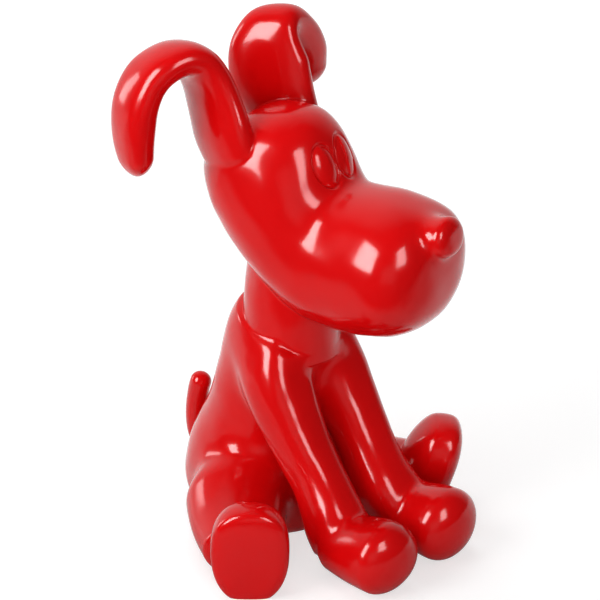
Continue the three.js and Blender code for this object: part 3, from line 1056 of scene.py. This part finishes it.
def new_material(name: str) -> tuple[bpy.types.Material, bpy.types.NodeTree, bpy.types.Node]:
    """Start a material with nothing but its output.

    Args:
        name: the material's name.

    Returns:
        The material, its node tree and its output node.
    """
    material = bpy.data.materials.new(name)
    material.use_nodes = True
    tree = material.node_tree
    tree.nodes.clear()
    return material, tree, tree.nodes.new("ShaderNodeOutputMaterial")


@dataclass(frozen=True)
class Grain:
    """A fine pattern over a piece: its grain in metres, kind, stretch along each axis, settings."""

    size: float
    kind: str = "ShaderNodeTexNoise"
    value: str = "Fac"
    stretch: tuple[float, float, float] = (1.0, 1.0, 1.0)
    settings: dict[str, float] = field(default_factory=dict)

    def lay(self, tree: bpy.types.NodeTree) -> bpy.types.NodeSocket:
        """Lay the pattern in the piece's own coordinates, and give its value."""
        place = node(tree, "ShaderNodeTexCoord").outputs["Object"]
        drawn = node(tree, "ShaderNodeMapping", values={"Scale": self.stretch},
                     links={"Vector": place})
        pattern = node(tree, self.kind, values={"Scale": 1 / self.size, **self.settings},
                       links={"Vector": drawn.outputs[0]})
        return pattern.outputs[self.value]


@dataclass(frozen=True)
class Finish:
    """A material: two colours mixed by one pattern, and a relief that follows another."""

    name: str
    low: str
    high: str
    tone: Grain
    surface: dict[str, float]
    relief: Grain | None = None
    strength: float = 0.0
    height: float = 0.0

    def material(self) -> bpy.types.Material:
        """Build the material's nodes."""
        material, tree, output = new_material(self.name)
        blend = node(tree, "ShaderNodeMix", {"data_type": "RGBA"}, links={
            "Factor": self.tone.lay(tree)})
        blend.inputs[6].default_value = linear(self.low)
        blend.inputs[7].default_value = linear(self.high)
        shader = node(tree, "ShaderNodeBsdfPrincipled", values=self.surface, links={
            "Base Color": blend.outputs[2]})
        if self.relief is not None:
            bump = node(tree, "ShaderNodeBump", values={
                "Strength": self.strength, "Distance": self.height},
                links={"Height": self.relief.lay(tree)})
            tree.links.new(bump.outputs["Normal"], shader.inputs["Normal"])
        tree.links.new(shader.outputs[0], output.inputs["Surface"])
        return material


def gloss_lacquer() -> bpy.types.Material:
    """Make the red lacquer, sprayed thick over filled resin and polished to a wet, deep gloss.

    Slow clouds of colour run through it, and a faint orange peel lies in its coat.
    """
    clouds = Grain(0.09, settings={"Detail": 3.0, "Roughness": 0.55})
    peel = Grain(0.0035, settings={"Detail": 2.0, "Roughness": 0.5})
    gloss = {"Roughness": 0.145, "IOR": 1.5, "Specular IOR Level": 0.34}
    return Finish("red_gloss_lacquer", "#CF0507", "#DA080B", clouds, gloss, peel,
                  strength=0.12, height=0.0002).material()


def drawn_steel() -> bpy.types.Material:
    """Make bright drawn steel, with fine lines half a millimetre apart and a satin shine."""
    lines = Grain(0.0006, settings={"Detail": 2.0})
    return Finish("drawn_steel", "#74777B", "#9A9DA0", lines,
                  {"Metallic": 1.0, "Roughness": 0.34}).material()


def birch_plywood() -> bpy.types.Material:
    """Make bare birch plywood, pale and dry, with a long soft grain along X."""
    grain = Grain(0.004, stretch=(0.08, 1.0, 1.0), settings={"Detail": 5.0, "Distortion": 0.6})
    return Finish("birch_plywood", "#B98F5D", "#D6B588", grain, {"Roughness": 0.75}, grain,
                  strength=0.3, height=0.0002).material()


def wool_felt() -> bpy.types.Material:
    """Make dark red pressed felt, matt with a soft sheen and a tangle of short fibres."""
    fibres = Grain(0.0011, settings={"Detail": 6.0, "Distortion": 2.0})
    return Finish("wool_felt", "#4A0E11", "#7A1D20", fibres,
                  {"Roughness": 0.95, "Sheen Weight": 0.4}, fibres,
                  strength=0.8, height=0.0005).material()


def cast_cement() -> bpy.types.Material:
    """Make poured cement, grey and matt, pitted by grit of about three millimetres."""
    grit = Grain(0.003, kind="ShaderNodeTexVoronoi", value="Distance")
    return Finish("cast_cement", "#9A978F", "#75726B", grit, {"Roughness": 0.92}, grit,
                  strength=0.5, height=0.0006).material()


# The dog

@dataclass
class PiecePlan:
    """One lacquered piece: its form, name, CAD nodes, ring spacing, sides and neighbours."""

    owner: str
    name: str
    nodes: tuple[str, ...]
    cell: float
    sides: int
    near: list[str]


class SeatedDog:
    """The whole sculpture: its forms, their joints, and the pieces made from them."""

    QUICK_COARSENESS = 2.2
    WORKERS = 4

    def __init__(self) -> None:
        """Gather the forms and say how they are joined."""
        self.trunk = Trunk()
        self.head = Head()
        forms: dict[str, Form] = {
            "torso": self.trunk.torso(), "neck": self.trunk.neck(),
            "skull": self.head.skull(), "nose": self.head.nose(), "tail": Tail().form()}
        for side in Side:
            fore, hind = ForeLimb(side), HindLimb(side)
            forms[f"{side.value}_leg"] = fore.leg()
            forms[f"{side.value}_paw"] = fore.paw()
            forms[f"{side.value}_haunch"] = hind.haunch()
            forms[f"{side.value}_foot"] = hind.foot()
            forms[f"{side.value}_ear"] = self.head.ear(side)
        joints = [
            Joint("right_fore", ("right_leg", "right_paw"), 9),
            Joint("left_fore", ("left_leg", "left_paw"), 9),
            Joint("right_hind", ("right_haunch", "right_foot"), 5),
            Joint("left_hind", ("left_haunch", "left_foot"), 5),
            Joint("armed", ("torso", "right_fore", "left_fore"), 22),
            Joint("seated", ("armed", "right_hind", "left_hind"), 26),
            Joint("tailed", ("seated", "tail"), 6),
            Joint("necked", ("tailed", "neck"), 4),
            Joint("nosed", ("skull", "nose"), 14),
            Joint("eared", ("nosed", "right_ear", "left_ear"), 4),
            Joint("all", ("necked", "eared"), 1.5),
        ]
        eyes = [Eye(side, Placing(side is Side.LEFT, self.head.turn, self.head.neck_axis))
                for side in Side]
        self.casting = Casting(forms, joints, HandFinish(), eyes)

    def plans(self) -> list[PiecePlan]:
        """List every lacquered piece, with its grid and its neighbours."""
        plans = [
            PiecePlan("torso", "body_casting", ("body_shell",), 1.7, 210, [
                "neck", "right_leg", "left_leg", "right_haunch", "left_haunch", "tail"]),
            PiecePlan("neck", "neck", (), 1.6, 150, ["torso", "skull", "right_leg", "left_leg"]),
            PiecePlan("skull", "head_casting", ("head_shell",), 1.6, 230, [
                "neck", "nose", "right_ear", "left_ear"]),
            PiecePlan("nose", "nose_knob", ("nose",), 0.8, 90, ["skull"]),
            PiecePlan("tail", "tail_stub", ("tail",), 1.0, 60, ["torso"]),
        ]
        for side, other in ((Side.RIGHT, Side.LEFT), (Side.LEFT, Side.RIGHT)):
            word = side.value
            plans += [
                PiecePlan(f"{word}_leg", f"{word}_foreleg", (f"{word}_front_leg",), 1.5, 110, [
                    "torso", "neck", f"{word}_paw", f"{other.value}_leg"]),
                PiecePlan(f"{word}_paw", f"{word}_forepaw", (f"{word}_front_paw",), 1.3, 130, [
                    f"{word}_leg"]),
                PiecePlan(f"{word}_haunch", f"{word}_thigh", (f"{word}_haunch",), 1.5, 150, [
                    "torso", f"{word}_foot"]),
                PiecePlan(f"{word}_foot", f"{word}_hindfoot", (f"{word}_hind_foot",), 1.2, 170, [
                    f"{word}_haunch"]),
                PiecePlan(f"{word}_ear", f"{word}_ear_flap", (f"{word}_ear",), 1.3, 120, [
                    "skull"]),
            ]
        return plans

    def work_out(self, plan: PiecePlan) -> tuple[Array, Array, int, int]:
        """Work out one piece's surface.

        Args:
            plan: the piece.

        Returns:
            Its points and normals, and its number of rings and sides.
        """
        coarse = 1.0
        sides = int(plan.sides / coarse)
        grid, poles = self.casting.forms[plan.owner].surface(plan.cell * coarse, sides)
        points = np.concatenate([grid.reshape(-1, 3), poles])
        points, normals = self.casting.settle(points, plan.owner, plan.near)
        flat = points[:, 2] < 0
        points[:, 2] = np.maximum(points[:, 2], 0)
        normals[flat] = (0, 0, -1)
        return points, normals, len(grid), sides

    def build(self, material: bpy.types.Material) -> None:
        """Make every lacquered piece, and hide the CAD nodes that it stands for.

        Args:
            material: the lacquer.
        """
        plans = self.plans()
        with ThreadPoolExecutor(max_workers=self.WORKERS) as pool:
            surfaces = list(pool.map(self.work_out, plans))
        for plan, (points, normals, rings, sides) in zip(plans, surfaces):
            piece = make_piece(plan.name, points, normals, grid_faces(rings, sides), material)
            if plan.nodes:
                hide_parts(*plan.nodes)
            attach(piece, "root")
            log.info("%s: %d points", plan.name, len(points))
        for eye in self.casting.eyes:
            bead = EyeBead(eye)
            points, normals, rings = bead.work_out(self.casting)
            faces = grid_faces(rings, bead.sides)
            piece = make_piece(f"{eye.side.value}_eye_bead", points, normals, faces, material)
            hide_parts(f"{eye.side.value}_eye")
            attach(piece, "root")


def dress_carried(finishes: dict[str, bpy.types.Material]) -> None:
    """Give every CAD node that stays its finish.

    Args:
        finishes: materials by a word in the node's name.
    """
    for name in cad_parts:
        piece = bpy.data.objects.get(name)
        for key, material in finishes.items():
            if piece is not None and key in name:
                for slot in piece.material_slots:
                    slot.material = material
                if not piece.material_slots:
                    piece.data.materials.append(material)


# The studio

def direction(azimuth: float, elevation: float) -> Vector:
    """Give the way from the dog to a place around it.

    Args:
        azimuth: degrees around the dog, 0 in front of it and -90 on its right side.
        elevation: degrees above the horizon.

    Returns:
        The direction, of length one.
    """
    turn, lift = math.radians(azimuth), math.radians(elevation)
    level = math.cos(lift)
    return Vector((math.sin(turn) * level, -math.cos(turn) * level, math.sin(lift)))


@dataclass
class Camera:
    """The photograph's view."""

    azimuth: float = -46.0
    elevation: float = 26.0
    distance: float = 3.6
    lens: float = 270.0
    sensor: float = 36.0
    farthest: float = 20.0
    aim: tuple[float, float, float] = (0.0, -0.0407, 0.2002)

    def add(self) -> None:
        """Create the camera and make it the scene's own."""
        back = direction(self.azimuth, self.elevation)
        data = bpy.data.cameras.new("camera")
        data.lens = self.lens
        data.sensor_width = self.sensor
        data.clip_end = self.farthest
        camera = add_object("camera", data)
        camera.location = Vector(self.aim) + back * self.distance
        camera.rotation_euler = back.to_track_quat("Z", "Y").to_euler()
        bpy.context.scene.camera = camera


class Role(Enum):
    """What a lamp does: it lights the dog evenly, or it is seen in the lacquer."""

    LIGHT = "light"
    SHINE = "shine"


@dataclass
class Softbox:
    """A flat diffused lamp around the dog, placed by its azimuth and elevation in degrees."""

    name: str
    role: Role
    azimuth: float
    elevation: float
    size: tuple[float, float]
    power: float
    distance: float = 2.25
    aim: tuple[float, float, float] = (0.0, -0.04, 0.2)

    def add(self) -> None:
        """Hang the lamp."""
        toward = direction(self.azimuth, self.elevation)
        data = bpy.data.lights.new(self.name, "AREA")
        data.shape = "RECTANGLE"
        data.size, data.size_y = self.size
        data.energy = self.power
        lamp = add_object(self.name, data)
        lamp.location = Vector(self.aim) + toward * self.distance
        lamp.rotation_euler = toward.to_track_quat("Z", "Y").to_euler()
        lamp.visible_glossy = self.role is Role.SHINE
        lamp.visible_diffuse = self.role is Role.LIGHT


def ramp(tree: bpy.types.NodeTree, value: bpy.types.NodeSocket, places: tuple[float, float],
         levels: tuple[float, float]) -> bpy.types.NodeSocket:
    """Turn a value into a level that changes evenly between two places.

    Args:
        tree: the node tree.
        value: the value to read.
        places: the values between which the level changes.
        levels: the level at each of them, kept beyond it.

    Returns:
        The level.
    """
    made = node(tree, "ShaderNodeMapRange", values={
        "From Min": places[0], "From Max": places[1], "To Min": levels[0], "To Max": levels[1]},
        links={"Value": value})
    return made.outputs[0]


def along(tree: bpy.types.NodeTree, place: bpy.types.NodeSocket,
          way: tuple[float, float, float]) -> bpy.types.NodeSocket:
    """Measure how far a place lies along a direction."""
    made = node(tree, "ShaderNodeVectorMath", {"operation": "DOT_PRODUCT"})
    tree.links.new(place, made.inputs[0])
    made.inputs[1].default_value = way
    return made.outputs["Value"]


def reckon(tree: bpy.types.NodeTree, operation: str,
           *values: bpy.types.NodeSocket) -> bpy.types.NodeSocket:
    """Work out one number from others with a Math node."""
    made = node(tree, "ShaderNodeMath", {"operation": operation})
    for index, value in enumerate(values):
        tree.links.new(value, made.inputs[index])
    return made.outputs[0]


def eye_rays(tree: bpy.types.NodeTree, rays: bpy.types.Node) -> bpy.types.NodeSocket:
    """Tell the rays that the camera sends, straight or through something clear, from the rest."""
    return reckon(tree, "MAXIMUM", rays.outputs["Is Camera Ray"],
                  rays.outputs["Is Transmission Ray"])


def pick(tree: bpy.types.NodeTree, share: bpy.types.NodeSocket, first: bpy.types.Node,
         second: bpy.types.Node) -> bpy.types.Node:
    """Mix two shaders, all the first where the share is 0 and all the second where it is 1."""
    made = node(tree, "ShaderNodeMixShader", links={"Fac": share})
    tree.links.new(first.outputs[0], made.inputs[1])
    tree.links.new(second.outputs[0], made.inputs[2])
    return made


@dataclass
class Studio:
    """A white table and backdrop, and a room that is dark behind the camera.

    Each ramp is a pair of values between which a level changes: metres from the dog for the glow,
    metres towards the backdrop for the gleam and the dark, and a cosine for the room.
    """

    floor_size: float = 7.0
    floor_drop: float = 0.0002
    floor_white: str = "#B8B8B8"
    floor_glow: float = 0.64
    glow_ramp: tuple[float, float] = (0.6, 1.8)
    near_gleam: float = 0.05
    far_gleam: float = 0.7
    gleam_ramp: tuple[float, float] = (-0.1, 0.12)
    dark_ramp: tuple[float, float] = (-0.46, -0.28)
    backdrop: tuple[float, float, float] = (0.72, 0.69, 0.0)
    bright_side: tuple[float, float, float] = (0.55, 0.83, 0.0)
    bright_ramp: tuple[float, float] = (0.2, 0.75)
    room_light: float = 0.33
    room_dark: float = 0.03
    room_bright: float = 0.85

    def add(self) -> None:
        """Set up the floor, the world and the lamps."""
        self.add_floor()
        self.add_world()
        for lamp in (
            Softbox("key_light", Role.LIGHT, -100, 30, (1.2, 1.8), 27),
            Softbox("top_light", Role.LIGHT, 160, 65, (1.6, 1.6), 22),
            Softbox("front_light", Role.LIGHT, -40, 8, (1.4, 1.4), 20),
            Softbox("key_shine", Role.SHINE, -101, 33, (1.0, 1.6), 92),
            Softbox("front_shine", Role.SHINE, -11, 32, (0.7, 1.15), 28),
            Softbox("back_shine", Role.SHINE, -160, 12, (0.5, 0.9), 9),
        ):
            lamp.add()

    def add_floor(self) -> None:
        """Lay the table, which the camera sees glowing white.

        The lacquer shows it white behind the dog, and in front of the dog the dark room instead.
        """
        half = self.floor_size / 2
        corners = [(x, y, -self.floor_drop) for x, y in (
            (-half, -half), (half, -half), (half, half), (-half, half))]
        mesh = bpy.data.meshes.new("floor")
        mesh.from_pydata(corners, [], [(0, 1, 2, 3)])
        floor = add_object("floor", mesh)
        material, tree, output = new_material("white_table")
        rays = node(tree, "ShaderNodeLightPath")
        place = node(tree, "ShaderNodeTexCoord").outputs["Object"]
        behind = along(tree, place, self.backdrop)
        away = node(tree, "ShaderNodeVectorMath", {"operation": "LENGTH"})
        tree.links.new(place, away.inputs[0])
        shown = ramp(tree, away.outputs["Value"], self.glow_ramp, (self.floor_glow, 1.0))
        bright = ramp(tree, behind, self.gleam_ramp, (self.near_gleam, self.far_gleam))
        gleam = reckon(tree, "MULTIPLY", rays.outputs["Is Glossy Ray"], bright)
        glow = reckon(tree, "MULTIPLY_ADD", eye_rays(tree, rays), shown, gleam)
        matt = node(tree, "ShaderNodeBsdfDiffuse", values={"Color": linear(self.floor_white)})
        light = node(tree, "ShaderNodeEmission", links={"Strength": glow})
        table = node(tree, "ShaderNodeAddShader")
        tree.links.new(matt.outputs[0], table.inputs[0])
        tree.links.new(light.outputs[0], table.inputs[1])
        room = node(tree, "ShaderNodeEmission", values={"Strength": self.room_dark})
        front = ramp(tree, behind, self.dark_ramp, (1.0, 0.0))
        unlit = reckon(tree, "MULTIPLY", rays.outputs["Is Glossy Ray"], front)
        seen = pick(tree, unlit, table, room)
        tree.links.new(seen.outputs[0], output.inputs["Surface"])
        mesh.materials.append(material)

    def add_world(self) -> None:
        """Light the dog evenly, show the camera white, and show the lacquer a half bright room."""
        world = bpy.data.worlds.new("studio")
        bpy.context.scene.world = world
        world.use_nodes = True
        tree = world.node_tree
        tree.nodes.clear()
        output = tree.nodes.new("ShaderNodeOutputWorld")
        rays = node(tree, "ShaderNodeLightPath")
        place = node(tree, "ShaderNodeTexCoord").outputs["Generated"]
        level = ramp(tree, along(tree, place, self.bright_side), self.bright_ramp,
                     (self.room_dark, self.room_bright))
        white = {"Color": (1, 1, 1, 1)}
        light = node(tree, "ShaderNodeBackground", values={**white, "Strength": self.room_light})
        room = node(tree, "ShaderNodeBackground", values=white, links={"Strength": level})
        plain = node(tree, "ShaderNodeBackground", values={**white, "Strength": 1.0})
        lacquer = pick(tree, rays.outputs["Is Glossy Ray"], light, room)
        shown = pick(tree, eye_rays(tree, rays), lacquer, plain)
        tree.links.new(shown.outputs[0], output.inputs["Surface"])


def main() -> None:
    """Build the studio and the dog."""
    logging.basicConfig(level=logging.INFO, format="%(name)s: %(message)s")
    bpy.context.scene.view_settings.view_transform = "Standard"
    Camera().add()
    Studio().add()
    SeatedDog().build(gloss_lacquer())
    steel = drawn_steel()
    dress_carried({
        "pin": steel, "screw": steel, "plate": birch_plywood(), "felt": wool_felt(),
        "weight": cast_cement(),
    })


if __name__ == "__main__":
    main()
